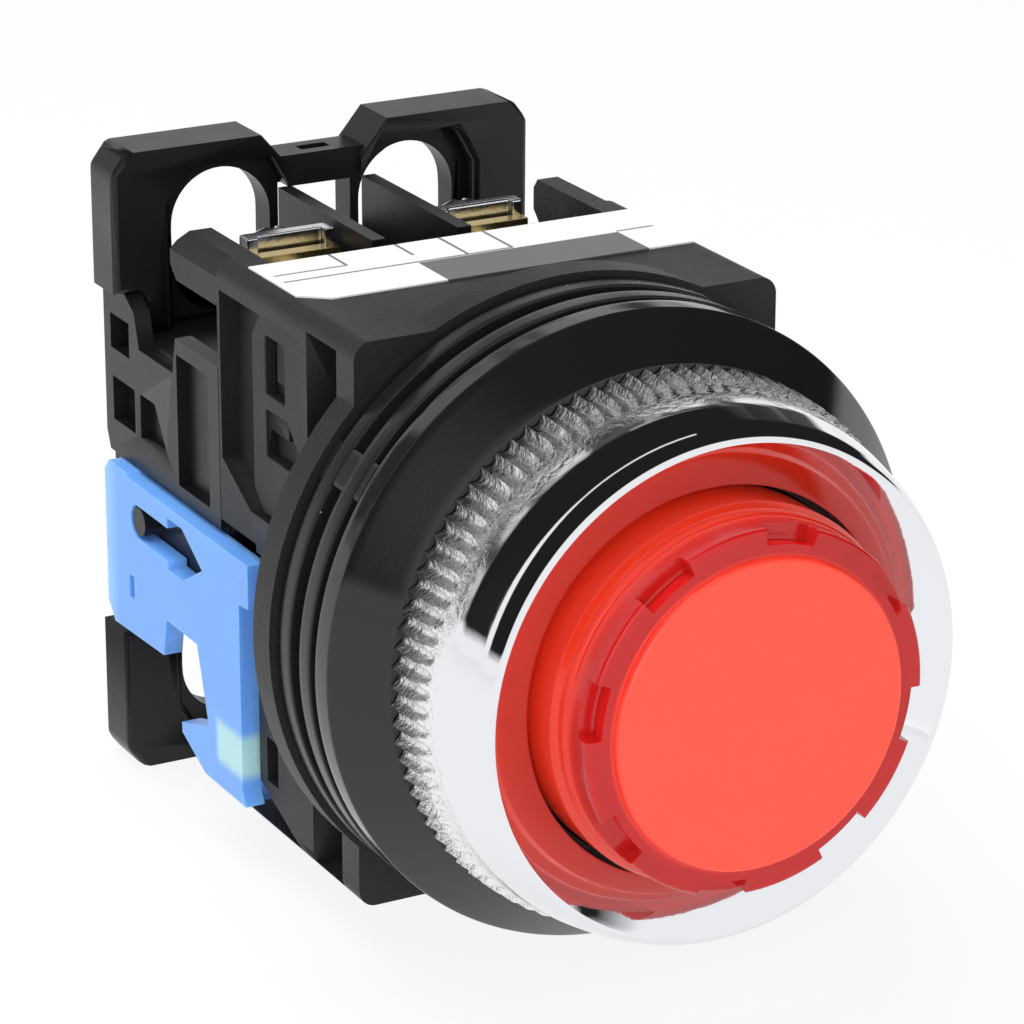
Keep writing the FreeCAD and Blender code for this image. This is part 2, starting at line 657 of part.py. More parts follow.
write("contact_plunger", make_contact_plunger())
write("moving_contact", make_moving_contact())
write("contact_spring", coil(contact_spring_r, contact_wire, contact_turns, bridge_rear,
                             case_rear - case_wall, contact_x))
for side_name, side in (("left", -1), ("right", 1)):
    for level_name, flip in (("top", 1), ("bottom", -1)):
        spot = level_name + "_" + side_name
        if side < 0:
            write("contact_terminal_" + level_name,
                  make_terminal_plate(-terminal_x, flip, contact_x, contact_z))
            write("fixed_contact_" + level_name, make_fixed_tip(flip))
        else:
            write("lamp_terminal_" + level_name, make_terminal_plate(terminal_x, flip, terminal_x, 7.4))
            write("lamp_strip_" + level_name, make_lamp_strip(flip))
        write("clamp_washer_" + spot, make_clamp_washer(side * terminal_x, flip * terminal_z))
        write("terminal_screw_" + spot, make_terminal_screw(side * terminal_x, flip * terminal_z))
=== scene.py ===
import json
import math
import bmesh
import bpy
import numpy as np
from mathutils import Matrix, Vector


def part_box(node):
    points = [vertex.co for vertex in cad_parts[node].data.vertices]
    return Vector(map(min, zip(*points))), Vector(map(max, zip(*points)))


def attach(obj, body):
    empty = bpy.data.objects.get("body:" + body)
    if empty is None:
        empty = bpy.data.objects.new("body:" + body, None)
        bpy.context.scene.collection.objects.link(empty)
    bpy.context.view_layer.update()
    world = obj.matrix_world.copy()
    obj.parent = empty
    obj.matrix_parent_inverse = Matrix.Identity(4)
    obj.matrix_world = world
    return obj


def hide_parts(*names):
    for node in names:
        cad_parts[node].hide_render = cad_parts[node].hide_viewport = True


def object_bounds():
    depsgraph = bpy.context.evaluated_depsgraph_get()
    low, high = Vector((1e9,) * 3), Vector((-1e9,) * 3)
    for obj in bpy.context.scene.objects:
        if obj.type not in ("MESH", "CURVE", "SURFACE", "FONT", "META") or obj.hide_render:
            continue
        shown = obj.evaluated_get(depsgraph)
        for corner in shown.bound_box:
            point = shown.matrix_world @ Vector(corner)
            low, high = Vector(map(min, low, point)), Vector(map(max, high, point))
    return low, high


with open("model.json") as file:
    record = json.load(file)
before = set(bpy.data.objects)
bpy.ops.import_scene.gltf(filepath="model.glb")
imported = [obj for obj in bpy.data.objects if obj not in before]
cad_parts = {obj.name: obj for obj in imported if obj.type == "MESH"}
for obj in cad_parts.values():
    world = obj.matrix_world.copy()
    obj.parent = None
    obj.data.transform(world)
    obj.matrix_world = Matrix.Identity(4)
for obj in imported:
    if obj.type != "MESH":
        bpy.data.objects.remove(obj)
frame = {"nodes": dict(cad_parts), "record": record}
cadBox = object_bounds()
print("frame loaded")

mm = 0.001
nodes = frame["nodes"]
floorHeight = cadBox[0].z


def nodeBox(name):
    low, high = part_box(name)
    return [v / mm for v in low], [v / mm for v in high]

def makeObject(name, mesh):
    piece = bpy.data.objects.new(name, mesh)
    bpy.context.scene.collection.objects.link(piece)
    return piece


def smoothBySharpness(mesh, degrees):
    mesh.shade_smooth()
    mesh.set_sharp_from_angle(angle=math.radians(degrees))


# A corner list (radius, y, rounding) becomes a polyline: each corner is replaced by points
# on the circle that touches both of its sides, spaced evenly in turning angle.
def roundedProfile(corners, closed=True, arcSteps=5):
    count = len(corners)
    line = []
    for i, (r, y, rounding) in enumerate(corners):
        here = np.array((r, y), float)
        if rounding <= 0 or (not closed and i in (0, count - 1)):
            line.append(here)
            continue
        before = np.array(corners[i - 1][:2], float) - here
        after = np.array(corners[(i + 1) % count][:2], float) - here
        before /= np.linalg.norm(before)
        after /= np.linalg.norm(after)
        half = math.acos(np.clip(before @ after, -1, 1)) / 2
        toTouch = rounding / math.tan(half)
        middle = before + after
        centre = here + middle / np.linalg.norm(middle) * rounding / math.sin(half)
        first = here + before * toTouch - centre
        last = here + after * toTouch - centre
        turn = math.atan2(first[0] * last[1] - first[1] * last[0], first @ last)
        for t in np.linspace(0, turn, arcSteps):
            line.append(centre + np.array((first[0] * math.cos(t) - first[1] * math.sin(t),
                                           first[0] * math.sin(t) + first[1] * math.cos(t))))
    return np.array(line)


# Long straight runs of a profile get more points, no further apart than the step.
def refineProfile(line, step, closed=True):
    nextPoints = np.roll(line, -1, axis=0) if closed else line[1:]
    starts = line if closed else line[:-1]
    out = []
    for a, b in zip(starts, nextPoints):
        parts = max(1, int(math.ceil(np.linalg.norm(b - a) / step)))
        out.append(a + (b - a) * (np.arange(parts)[:, None] / parts))
    if not closed:
        out.append(line[-1:])
    return np.concatenate(out)


# Grid of radius R[i, j] and place Y[i, j] turned to angle T[i]: (R cos T, Y, R sin T).
# Columns wrap round the axis; rows wrap too when the profile is closed, else the ends are
# closed with a fan of triangles to a point on the axis.
def turnedMesh(name, angles, radius, place, closed):
    rows, cols = radius.shape
    points = np.stack([radius * np.cos(angles)[:, None], place, radius * np.sin(angles)[:, None]], -1)
    vertices = points.reshape(-1, 3)
    i = np.arange(rows)[:, None]
    j = np.arange(cols if closed else cols - 1)[None, :]
    nextI, nextJ = (i + 1) % rows, (j + 1) % cols
    quads = np.stack([i * cols + j, nextI * cols + j, nextI * cols + nextJ, i * cols + nextJ], -1)
    faces = quads.reshape(-1, 4).tolist()
    if not closed:
        for column in (0, cols - 1):
            hub = len(vertices)
            vertices = np.vstack([vertices, [[0, place[:, column].mean(), 0]]])
            ring = np.arange(rows) * cols + column
            faces += np.stack([ring, np.roll(ring, -1), np.full(rows, hub)], -1).tolist()
    mesh = bpy.data.meshes.new(name)
    mesh.from_pydata((vertices * mm).tolist(), [], faces)
    shape = bmesh.new()
    shape.from_mesh(mesh)
    bmesh.ops.recalc_face_normals(shape, faces=shape.faces)
    shape.to_mesh(mesh)
    shape.free()
    return mesh


def storeValue(mesh, name, values):
    layer = mesh.attributes.new(name, "FLOAT", "POINT")
    data = np.zeros(len(mesh.vertices), np.float32)
    flat = values.reshape(-1)
    data[:len(flat)] = flat
    layer.data.foreach_set("value", data)


def finishPiece(piece, body, slotName, material, *replaced):
    piece.data.materials.clear()
    piece.data.materials.append(material)
    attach(piece, body)
    if replaced:
        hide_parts(*replaced)
    return piece


def smoothStep(t):
    t = np.clip(t, 0, 1)
    return t * t * (3 - 2 * t)

def newGroup(name, inputs, outputs):
    group = bpy.data.node_groups.new(name, "ShaderNodeTree")
    for label, value in inputs:
        socket = group.interface.new_socket(label, in_out="INPUT", socket_type="NodeSocketFloat")
        socket.default_value = value
    for label in outputs:
        group.interface.new_socket(label, in_out="OUTPUT", socket_type="NodeSocketFloat")
    return group, group.nodes.new("NodeGroupInput"), group.nodes.new("NodeGroupOutput")


def mathNode(tree, operation, a, b=None, c=None, clamp=False):
    node = tree.nodes.new("ShaderNodeMath")
    node.operation = operation
    node.use_clamp = clamp
    for socket, value in zip(node.inputs, (a, b, c)):
        if value is None:
            continue
        if isinstance(value, (int, float)):
            socket.default_value = value
        else:
            tree.links.new(value, socket)
    return node.outputs[0]


# Object coordinates in millimetres.
def millimetres(tree):
    where = tree.nodes.new("ShaderNodeTexCoord")
    scale = tree.nodes.new("ShaderNodeVectorMath")
    scale.operation = "SCALE"
    scale.inputs["Scale"].default_value = 1 / mm
    tree.links.new(where.outputs["Object"], scale.inputs[0])
    return scale.outputs[0]


def noiseNode(tree, vector, scale, detail=2.0, roughness=0.5):
    node = tree.nodes.new("ShaderNodeTexNoise")
    tree.links.new(vector, node.inputs["Vector"])
    if isinstance(scale, (int, float)):
        node.inputs["Scale"].default_value = scale
    else:
        tree.links.new(scale, node.inputs["Scale"])
    node.inputs["Detail"].default_value = detail
    node.inputs["Roughness"].default_value = roughness
    return node.outputs["Fac"]


# Fine grain: small noise for the height, with a broad slow noise for the tone.
def makeGrainGroup():
    group, start, end = newGroup("mouldGrain", (("Fineness", 6.0), ("Patch", 0.35)), ("Height", "Tone"))
    place = millimetres(group)
    fine = noiseNode(group, place, start.outputs["Fineness"], 3.0, 0.65)
    broad = noiseNode(group, place, start.outputs["Patch"], 3.0, 0.6)
    group.links.new(fine, end.inputs["Height"])
    mixed = mathNode(group, "ADD", mathNode(group, "MULTIPLY", fine, 0.4),
                     mathNode(group, "MULTIPLY", broad, 0.6))
    group.links.new(mixed, end.inputs["Tone"])
    return group


# Dust: round specks where the distance to scattered points is small, on a few cells only.
def makeDustGroup():
    group, start, end = newGroup("dustSpecks", (("Density", 1.2), ("Share", 0.12), ("Size", 0.09)), ("Mask",))
    place = millimetres(group)
    cells = group.nodes.new("ShaderNodeTexVoronoi")
    group.links.new(place, cells.inputs["Vector"])
    group.links.new(start.outputs["Density"], cells.inputs["Scale"])
    near = mathNode(group, "LESS_THAN", cells.outputs["Distance"], start.outputs["Size"])
    split = group.nodes.new("ShaderNodeSeparateColor")
    group.links.new(cells.outputs["Color"], split.inputs[0])
    chosen = mathNode(group, "LESS_THAN", split.outputs[0], start.outputs["Share"])
    group.links.new(mathNode(group, "MULTIPLY", near, chosen), end.inputs["Mask"])
    return group


# Cast texture: crumpled noise whose depth follows a mask.
def makeCastGroup():
    group, start, end = newGroup("castTexture", (("Mask", 1.0), ("Fineness", 2.6)), ("Height",))
    place = millimetres(group)
    crumple = noiseNode(group, place, start.outputs["Fineness"], 4.0, 0.6)
    group.links.new(mathNode(group, "MULTIPLY", crumple, start.outputs["Mask"]), end.inputs["Height"])
    return group


# A soft-edged band: 1 where the value lies within half the width of the centre.
def makeBandGroup():
    group, start, end = newGroup("softBand", (("Value", 0.0), ("Centre", 0.0), ("Half", 1.0), ("Soft", 0.05)),
                                 ("Mask",))
    away = mathNode(group, "ABSOLUTE", mathNode(group, "SUBTRACT", start.outputs["Value"], start.outputs["Centre"]))
    inside = mathNode(group, "SUBTRACT", start.outputs["Half"], away)
    group.links.new(mathNode(group, "ADD", mathNode(group, "DIVIDE", inside, start.outputs["Soft"]), 0.5,
                             clamp=True), end.inputs["Mask"])
    return group


grainGroup = makeGrainGroup()
dustGroup = makeDustGroup()
castGroup = makeCastGroup()
bandGroup = makeBandGroup()


def useGroup(tree, group, values):
    node = tree.nodes.new("ShaderNodeGroup")
    node.node_tree = group
    for label, value in values.items():
        if isinstance(value, (int, float)):
            node.inputs[label].default_value = value
        else:
            tree.links.new(value, node.inputs[label])
    return node.outputs


def mixColour(tree, factor, first, second, blend="MIX"):
    node = tree.nodes.new("ShaderNodeMix")
    node.data_type = "RGBA"
    node.blend_type = blend
    for socket, value in ((node.inputs["Factor"], factor), (node.inputs["A"], first), (node.inputs["B"], second)):
        target = socket
        if socket.name in ("A", "B"):
            target = [s for s in node.inputs if s.name == socket.name and s.type == "RGBA"][0]
        if isinstance(value, (int, float)):
            target.default_value = value
        elif isinstance(value, (tuple, list)):
            target.default_value = tuple(value) + (1.0,)
        else:
            tree.links.new(value, target)
    return [s for s in node.outputs if s.type == "RGBA"][0]


def startMaterial(name):
    material = bpy.data.materials.new(name)
    material.use_nodes = True
    return material, material.node_tree, material.node_tree.nodes["Principled BSDF"]


def addBump(tree, shader, height, distance, strength=1.0):
    bump = tree.nodes.new("ShaderNodeBump")
    bump.inputs["Strength"].default_value = strength
    bump.inputs["Distance"].default_value = distance * mm
    tree.links.new(height, bump.inputs["Height"])
    tree.links.new(bump.outputs[0], shader.inputs["Normal"])


# A moulded or rolled surface: base colour varied by the grain's tone, roughness likewise,
# fine relief from the grain, and a few pale specks of dust.
def grainMaterial(name, settings):
    material, tree, shader = startMaterial(name)
    grain = useGroup(tree, grainGroup, {"Fineness": settings["fineness"], "Patch": settings["patch"]})
    spread = settings["spread"]
    tone = mathNode(tree, "MULTIPLY_ADD", grain["Tone"], spread * 2, 1 - spread)
    colour = mixColour(tree, 1.0, settings["colour"], tone, "MULTIPLY")
    if settings.get("dust"):
        dust = useGroup(tree, dustGroup, {"Density": settings["dust"], "Share": settings.get("dustShare", 0.1),
                                          "Size": settings.get("dustSize", 0.07)})
        colour = mixColour(tree, mathNode(tree, "MULTIPLY", dust["Mask"], 0.6), colour, (0.45, 0.45, 0.45))
    tree.links.new(colour, shader.inputs["Base Color"])
    rough = settings["roughness"]
    tree.links.new(mathNode(tree, "MULTIPLY_ADD", grain["Tone"], rough * 0.5, rough * 0.75),
                   shader.inputs["Roughness"])
    shader.inputs["Metallic"].default_value = settings.get("metallic", 0.0)
    shader.inputs["Specular IOR Level"].default_value = settings.get("specular", 0.5)
    shader.inputs["Transmission Weight"].default_value = settings.get("transmission", 0.0)
    shader.inputs["Subsurface Weight"].default_value = settings.get("subsurface", 0.0)
    shader.inputs["Subsurface Radius"].default_value = settings.get("subsurfaceRadius", (1.0, 1.0, 1.0))
    shader.inputs["Subsurface Scale"].default_value = 1.5 * mm
    addBump(tree, shader, grain["Height"], settings["relief"])
    return material


materials = {
    "housingPlastic": grainMaterial("housingPlastic", {
        "colour": (0.014, 0.014, 0.015), "roughness": 0.42, "fineness": 4.5, "patch": 0.3, "spread": 0.25,
        "relief": 0.06, "specular": 0.24, "dust": 0.9, "dustShare": 0.05, "dustSize": 0.05}),
    "casePlastic": grainMaterial("casePlastic", {
        "colour": (0.008, 0.008, 0.010), "roughness": 0.34, "fineness": 5.0, "patch": 0.3, "spread": 0.2,
        "relief": 0.02, "specular": 0.28}),
    "ringPlastic": grainMaterial("ringPlastic", {
        "colour": (0.010, 0.010, 0.011), "roughness": 0.27, "fineness": 4.0, "patch": 0.4, "spread": 0.15,
        "relief": 0.008, "specular": 0.34, "dust": 1.1, "dustShare": 0.12, "dustSize": 0.075}),
    "gasketRubber": grainMaterial("gasketRubber", {
        "colour": (0.008, 0.008, 0.009), "roughness": 0.09, "fineness": 3.0, "patch": 0.4, "spread": 0.15,
        "relief": 0.003, "specular": 0.5, "dust": 0.8, "dustShare": 0.06, "dustSize": 0.05}),
    "innerWhite": grainMaterial("innerWhite", {
        "colour": (0.8, 0.78, 0.74), "roughness": 0.5, "fineness": 4.0, "patch": 0.5, "spread": 0.05,
        "relief": 0.004}),
    "zincSteel": grainMaterial("zincSteel", {
        "colour": (0.78, 0.80, 0.84), "roughness": 0.2, "fineness": 3.0, "patch": 0.8, "spread": 0.14,
        "relief": 0.01, "metallic": 1.0}),
    "springSteel": grainMaterial("springSteel", {
        "colour": (0.55, 0.55, 0.56), "roughness": 0.3, "fineness": 6.0, "patch": 0.8, "spread": 0.1,
        "relief": 0.004, "metallic": 1.0}),
    "brassPlate": grainMaterial("brassPlate", {
        "colour": (0.78, 0.58, 0.22), "roughness": 0.28, "fineness": 4.0, "patch": 0.8, "spread": 0.16,
        "relief": 0.006, "metallic": 1.0}),
    "silverTip": grainMaterial("silverTip", {
        "colour": (0.85, 0.84, 0.81), "roughness": 0.25, "fineness": 4.0, "patch": 0.8, "spread": 0.1,
        "relief": 0.004, "metallic": 1.0}),
    "lampGlass": grainMaterial("lampGlass", {
        "colour": (0.95, 0.95, 0.95), "roughness": 0.04, "fineness": 1.0, "patch": 0.3, "spread": 0.02,
        "relief": 0.001, "transmission": 0.9}),
}
print("shared materials made")

bezel = {"crest": 19.5, "bandRadius": 18.75, "shoulderRadius": 18.05, "frontRadius": 17.5, "lipRadius": 17.1,
         "boreRadius": 14.95, "dishRadius": 13.6, "dishDepth": 2.2, "seatDepth": 3.8, "knurlEnd": 4.3,
         "flutes": 92, "fluteDepth": 0.55, "fluteHalfWidth": 0.66, "tipPower": 5.0, "samplesPerFlute": 8,
         "step": 0.34, "castFrom": 1.45, "castBlend": 0.6, "castFineness": 1.8, "castRelief": 0.16}


# Flute depth = deepest(y) - k x (arc distance to the flute's middle) squared, never below zero,
# where deepest falls from the rear edge to nothing at the front tip, so each flute ends rounded.
def makeBezelRing():
    low, high = nodeBox("bezel_ring")
    rear, front = high[1], low[1]
    corners = [
        (bezel["boreRadius"], rear, 0.1), (bezel["crest"], rear, 0.2), (bezel["crest"] - 0.15, rear - 2.6, 2.0),
        (bezel["bandRadius"], rear - bezel["knurlEnd"], 3.0), (bezel["bandRadius"] - 0.15, rear - 6.3, 5.0),
        (bezel["shoulderRadius"], rear - 9.0, 3.2), (bezel["frontRadius"], front, 0.42),
        (bezel["lipRadius"], front + 0.04, 0.14), (bezel["dishRadius"], front + bezel["dishDepth"], 0.15),
        (bezel["dishRadius"], front + bezel["seatDepth"], 0.1), (bezel["boreRadius"], front + bezel["seatDepth"], 0.1)]
    line = refineProfile(roundedProfile(corners, arcSteps=6), bezel["step"])
    count = bezel["flutes"] * bezel["samplesPerFlute"]
    angles = np.arange(count) * 2 * math.pi / count
    radius = np.repeat(line[None, :, 0], count, 0)
    place = np.repeat(line[None, :, 1], count, 0)
    along = (rear - place) / bezel["knurlEnd"]
    outside = (radius > 18.3) & (along <= 1.0)
    deepest = bezel["fluteDepth"] * (1 - np.clip(along, 0, 1) ** bezel["tipPower"])
    pitch = 2 * math.pi / bezel["flutes"]
    offset = np.abs((angles[:, None] + pitch / 2) % pitch - pitch / 2) * radius
    curve = bezel["fluteDepth"] / bezel["fluteHalfWidth"] ** 2
    depth = np.where(outside, np.clip(deepest - offset ** 2 * curve, 0, None), 0)
    mesh = turnedMesh("bezelRing", angles, radius - depth, place, True)
    cast = np.where(radius > 17.9, smoothStep((bezel["castFrom"] - along) / bezel["castBlend"]), 0)
    storeValue(mesh, "cast", cast)
    smoothBySharpness(mesh, 40)
    return makeObject("bezelRing", mesh)


# Plating: mirror-smooth on the band and dish, lumpy where the cast mask of the knurl is 1.
def makeChrome():
    material, tree, shader = startMaterial("chrome")
    mask = tree.nodes.new("ShaderNodeAttribute")
    mask.attribute_name = "cast"
    cast = useGroup(tree, castGroup, {"Mask": mask.outputs["Fac"], "Fineness": bezel["castFineness"]})
    grain = useGroup(tree, grainGroup, {"Fineness": 0.5, "Patch": 0.25})
    shader.inputs["Metallic"].default_value = 1.0
    tree.links.new(mixColour(tree, mask.outputs["Fac"], (0.82, 0.83, 0.86), (0.85, 0.85, 0.87)),
                   shader.inputs["Base Color"])
    tree.links.new(mathNode(tree, "MULTIPLY_ADD", mask.outputs["Fac"], 0.02, 0.045), shader.inputs["Roughness"])
    height = mathNode(tree, "MULTIPLY_ADD", grain["Height"], 0.03, cast["Height"])
    addBump(tree, shader, height, bezel["castRelief"])
    return material


materials["chrome"] = makeChrome()
finishPiece(makeBezelRing(), "bezel", "chrome", materials["chrome"], "bezel_ring")
print("bezel ring made")

gasket = {"coneRadius": 19.4, "edge": 0.3, "bore": 15.1, "samples": 256}
ring = {"groove": 21.45, "rimFrom": 0.72, "rimTo": 2.25, "edge": 0.13, "samples": 720,
        "keyAngle": 145.0, "keyHalf": 3.4, "keyBlend": 0.7}


# The conical rim profile turned round the axis.
def makeGasket():
    low, high = nodeBox("panel_gasket")
    outer = high[0]
    corners = [(gasket["bore"], low[1], 0.1), (gasket["coneRadius"], low[1], 0.25), (outer, 0.0, 0.35),
               (outer, high[1], gasket["edge"]), (gasket["bore"], high[1], 0.1)]
    line = refineProfile(roundedProfile(corners, arcSteps=7), 0.6)
    angles = np.arange(gasket["samples"]) * 2 * math.pi / gasket["samples"]
    radius = np.repeat(line[None, :, 0], len(angles), 0)
    mesh = turnedMesh("panelGasket", angles, radius, np.repeat(line[None, :, 1], len(angles), 0), True)
    smoothBySharpness(mesh, 40)
    return makeObject("panelGasket", mesh)


# The rim profile turned round the axis; within the key's angle the grooves' radius rises
# to the rim's radius by a smooth step, so that one web bridges every groove.
def makeSpacerRing(name, node):
    low, high = nodeBox(node)
    rear, front, outer = high[1], low[1], high[0]
    groove, edge = ring["groove"], ring["edge"]
    corners = [(15.1, front, 0.05), (groove, front, 0.08), (groove, front + ring["rimFrom"], 0.1),
               (outer, front + ring["rimFrom"], edge), (outer, front + ring["rimTo"], edge),
               (groove, front + ring["rimTo"], 0.1), (groove, rear, 0.08), (15.1, rear, 0.05)]
    line = refineProfile(roundedProfile(corners, arcSteps=4), 0.5)
    angles = np.arange(ring["samples"]) * 2 * math.pi / ring["samples"]
    radius = np.repeat(line[None, :, 0], len(angles), 0)
    away = np.abs(np.degrees(angles) - ring["keyAngle"])[:, None]
    filled = smoothStep((ring["keyHalf"] + ring["keyBlend"] - away) / ring["keyBlend"])
    target = outer - 0.06
    radius = np.where(radius > groove - 0.2, radius + filled * np.clip(target - radius, 0, None), radius)
    mesh = turnedMesh(name, angles, radius, np.repeat(line[None, :, 1], len(angles), 0), True)
    smoothBySharpness(mesh, 40)
    return makeObject(name, mesh)


finishPiece(makeGasket(), "gasket", "black_rubber", materials["gasketRubber"], "panel_gasket")
for pieceName, node in (("spacerRingFront", "spacer_ring_front"), ("spacerRingRear", "spacer_ring_rear")):
    finishPiece(makeSpacerRing(pieceName, node), "housing", "black_plastic", materials["ringPlastic"], node)
print("gasket and spacer rings made")

lens = {"radius": 12.6, "faceRadius": 10.65, "proud": 0.6, "skirtRadius": 13.15,
        "skirtLength": 4.0, "wall": 1.25, "faceThick": 1.1, "edge": 0.35, "notchDepth": 1.2,
        "notchInner": 11.5, "notches": 8, "notchFrom": 34.0, "notchWidth": 17.0, "notchEdge": 0.5,
        # rim colour is painted shade; face colour and both glows are painted light, though the lens is no lamp
        "rimPaintedShadeColour": (0.68, 0.014, 0.014), "sideColour": (1.0, 0.055, 0.02), "facePaintedLightColour": (1.0, 0.092, 0.05),
        "facePaintedGlow": 0.30, "sidePaintedGlow": 0.06}


# Full profile and notched profile share their point count; a notch's share s(angle) rises
# from 0 to 1 over a fraction of a degree, and the surface is (1 - s) full + s notched.
def makeLens():
    low, high = nodeBox("lens_cap")
    face = low[1]
    rim = face + lens["proud"]
    rear, r = high[1], lens["radius"]
    tail = [(r, rear - lens["skirtLength"] - 1.3, 0.3), (r + 0.22, rear - lens["skirtLength"] - 1.15, 0.1),
            (r + 0.22, rear - lens["skirtLength"] - 0.4, 0.1), (lens["skirtRadius"], rear - lens["skirtLength"], 0.1),
            (lens["skirtRadius"], rear, 0.2), (r - lens["wall"], rear, 0.1),
            (r - lens["wall"], rim + lens["faceThick"], 0.4), (0.4, rim + lens["faceThick"], 0)]
    centre = [(0.4, face, 0), (6.0, face, 0), (lens["faceRadius"], face, 0.3), (lens["faceRadius"] + 0.1, rim, 0.12)]
    toNotch = roundedProfile(centre + [(lens["notchInner"], rim, 0)], closed=False, arcSteps=6)
    inner = refineProfile(toNotch, 0.8, False)
    edge, floor = lens["edge"], rim + lens["notchDepth"]
    full = roundedProfile([(lens["notchInner"], rim, 0), (r, rim, edge), (r, floor, 0)], closed=False, arcSteps=9)
    full = refineProfile(full, 0.3, False)
    cut = roundedProfile([(lens["notchInner"], rim, 0), (lens["notchInner"], floor, 0.12), (r, floor, 0)],
                         closed=False, arcSteps=5)
    run = np.concatenate([[0], np.cumsum(np.linalg.norm(np.diff(cut, axis=0), axis=1))])
    wanted = np.linspace(0, run[-1], len(full))
    cut = np.stack([np.interp(wanted, run, cut[:, 0]), np.interp(wanted, run, cut[:, 1])], -1)
    outer = refineProfile(roundedProfile([(r, floor, 0)] + tail, closed=False, arcSteps=5), 0.6, False)
    half, soft = lens["notchWidth"] / 2, lens["notchEdge"]
    border = np.array([-half - soft, -half - soft * 0.5, -half, half, half + soft * 0.5, half + soft])
    pitch = 360 / lens["notches"]
    base = np.arange(0, 360, 1.5)
    special = (lens["notchFrom"] + np.arange(lens["notches"])[:, None] * pitch + border[None, :]).ravel() % 360
    degrees = np.unique(np.round(np.concatenate([base, special]), 3))
    away = np.abs((degrees - lens["notchFrom"] + pitch / 2) % pitch - pitch / 2)
    share = smoothStep((half + soft - away) / soft)[:, None]
    middleR = (1 - share) * full[None, :, 0] + share * cut[None, :, 0]
    middleY = (1 - share) * full[None, :, 1] + share * cut[None, :, 1]
    count = len(degrees)

    def everyAngle(values):
        return np.repeat(values[None, :], count, 0)

    radius = np.concatenate([everyAngle(inner[:-1, 0]), middleR[:, :-1], everyAngle(outer[:, 0])], 1)
    place = np.concatenate([everyAngle(inner[:-1, 1]), middleY[:, :-1], everyAngle(outer[:, 1])], 1)
    mesh = turnedMesh("lensCap", np.radians(degrees), radius, place, False)
    smoothBySharpness(mesh, 35)
    return makeObject("lensCap", mesh)


# Face inside the face's radius painted brighter and given a painted glow, as if lit from behind;
# rim painted a deeper red as painted shade; orange red on the side, with a fainter painted glow.
def makeRedLens():
    material, tree, shader = startMaterial("redLens")
    place = tree.nodes.new("ShaderNodeSeparateXYZ")
    tree.links.new(millimetres(tree), place.inputs[0])
    x, y, z = place.outputs
    radius = mathNode(tree, "SQRT", mathNode(tree, "ADD", mathNode(tree, "MULTIPLY", x, x),
                                             mathNode(tree, "MULTIPLY", z, z)))
    low, high = nodeBox("lens_cap")
    rim = low[1] + lens["proud"]
    isFace = useGroup(tree, bandGroup, {"Value": radius, "Centre": 0.0, "Half": lens["faceRadius"] + 0.1,
                                        "Soft": 0.5})["Mask"]
    inFront = mathNode(tree, "LESS_THAN", y, rim + 0.3)
    faceMask = mathNode(tree, "MULTIPLY", isFace, inFront)
    sideBand = useGroup(tree, bandGroup, {"Value": y, "Centre": rim + 5.5, "Half": 3.4, "Soft": 1.8})["Mask"]
    grain = useGroup(tree, grainGroup, {"Fineness": 5.0, "Patch": 0.25})
    # painted shade on the rim, painted light on the face
    side = mixColour(tree, sideBand, lens["rimPaintedShadeColour"], lens["sideColour"])
    colour = mixColour(tree, faceMask, side, lens["facePaintedLightColour"])
    tone = mathNode(tree, "MULTIPLY_ADD", grain["Tone"], 0.08, 0.96)
    tinted = mixColour(tree, 1.0, colour, tone, "MULTIPLY")
    tree.links.new(tinted, shader.inputs["Base Color"])
    # painted glow: emission on the face and, fainter, on the side, though the lens is no lamp
    paintedGlow = mathNode(tree, "MULTIPLY_ADD", faceMask, lens["facePaintedGlow"],
                    mathNode(tree, "MULTIPLY", sideBand, lens["sidePaintedGlow"]))
    tree.links.new(mixColour(tree, 1.0, tinted, paintedGlow, "MULTIPLY"), shader.inputs["Emission Color"])
    shader.inputs["Emission Strength"].default_value = 1.0
    tree.links.new(mathNode(tree, "MULTIPLY_ADD", faceMask, 0.26, 0.14), shader.inputs["Roughness"])
    shader.inputs["Transmission Weight"].default_value = 0.5
    shader.inputs["Subsurface Weight"].default_value = 0.35
    shader.inputs["Subsurface Radius"].default_value = (1.0, 0.12, 0.1)
    shader.inputs["Subsurface Scale"].default_value = 1.2 * mm
    shader.inputs["Specular IOR Level"].default_value = 0.45
    addBump(tree, shader, grain["Height"], 0.006)
    return material


materials["redLens"] = makeRedLens()
finishPiece(makeLens(), "button", "red_lens", materials["redLens"], "lens_cap")
print("lens made")

# Bevel weight of a sharp edge = its length / (4.5 x the bevel's width), never above one, so
# short edges get a narrow rounding and long ones the whole width. Edges that come nearer to
# the middle plane than plainHalf stay sharp, and such pieces need no overall limit on the width.
def weighSharpEdges(mesh, width, plainHalf):
    ends = np.zeros(len(mesh.edges) * 2, np.int32)
    mesh.edges.foreach_get("vertices", ends)
    points = np.zeros(len(mesh.vertices) * 3)
    mesh.vertices.foreach_get("co", points)
    a, b = points.reshape(-1, 3)[ends.reshape(-1, 2)].transpose(1, 0, 2)
    lengths = np.linalg.norm(b - a, axis=1) / mm
    sharp = np.zeros(len(mesh.edges), bool)
    mesh.attributes["sharp_edge"].data.foreach_get("value", sharp)
    weights = mesh.attributes.new("bevel_weight_edge", "FLOAT", "EDGE")
    rounded = sharp & (np.minimum(np.abs(a[:, 0]), np.abs(b[:, 0])) >= plainHalf * mm)
    values = np.where(rounded, np.clip(lengths / (4.5 * width), 0, 1), 0).astype(np.float32)
    weights.data.foreach_set("value", values)


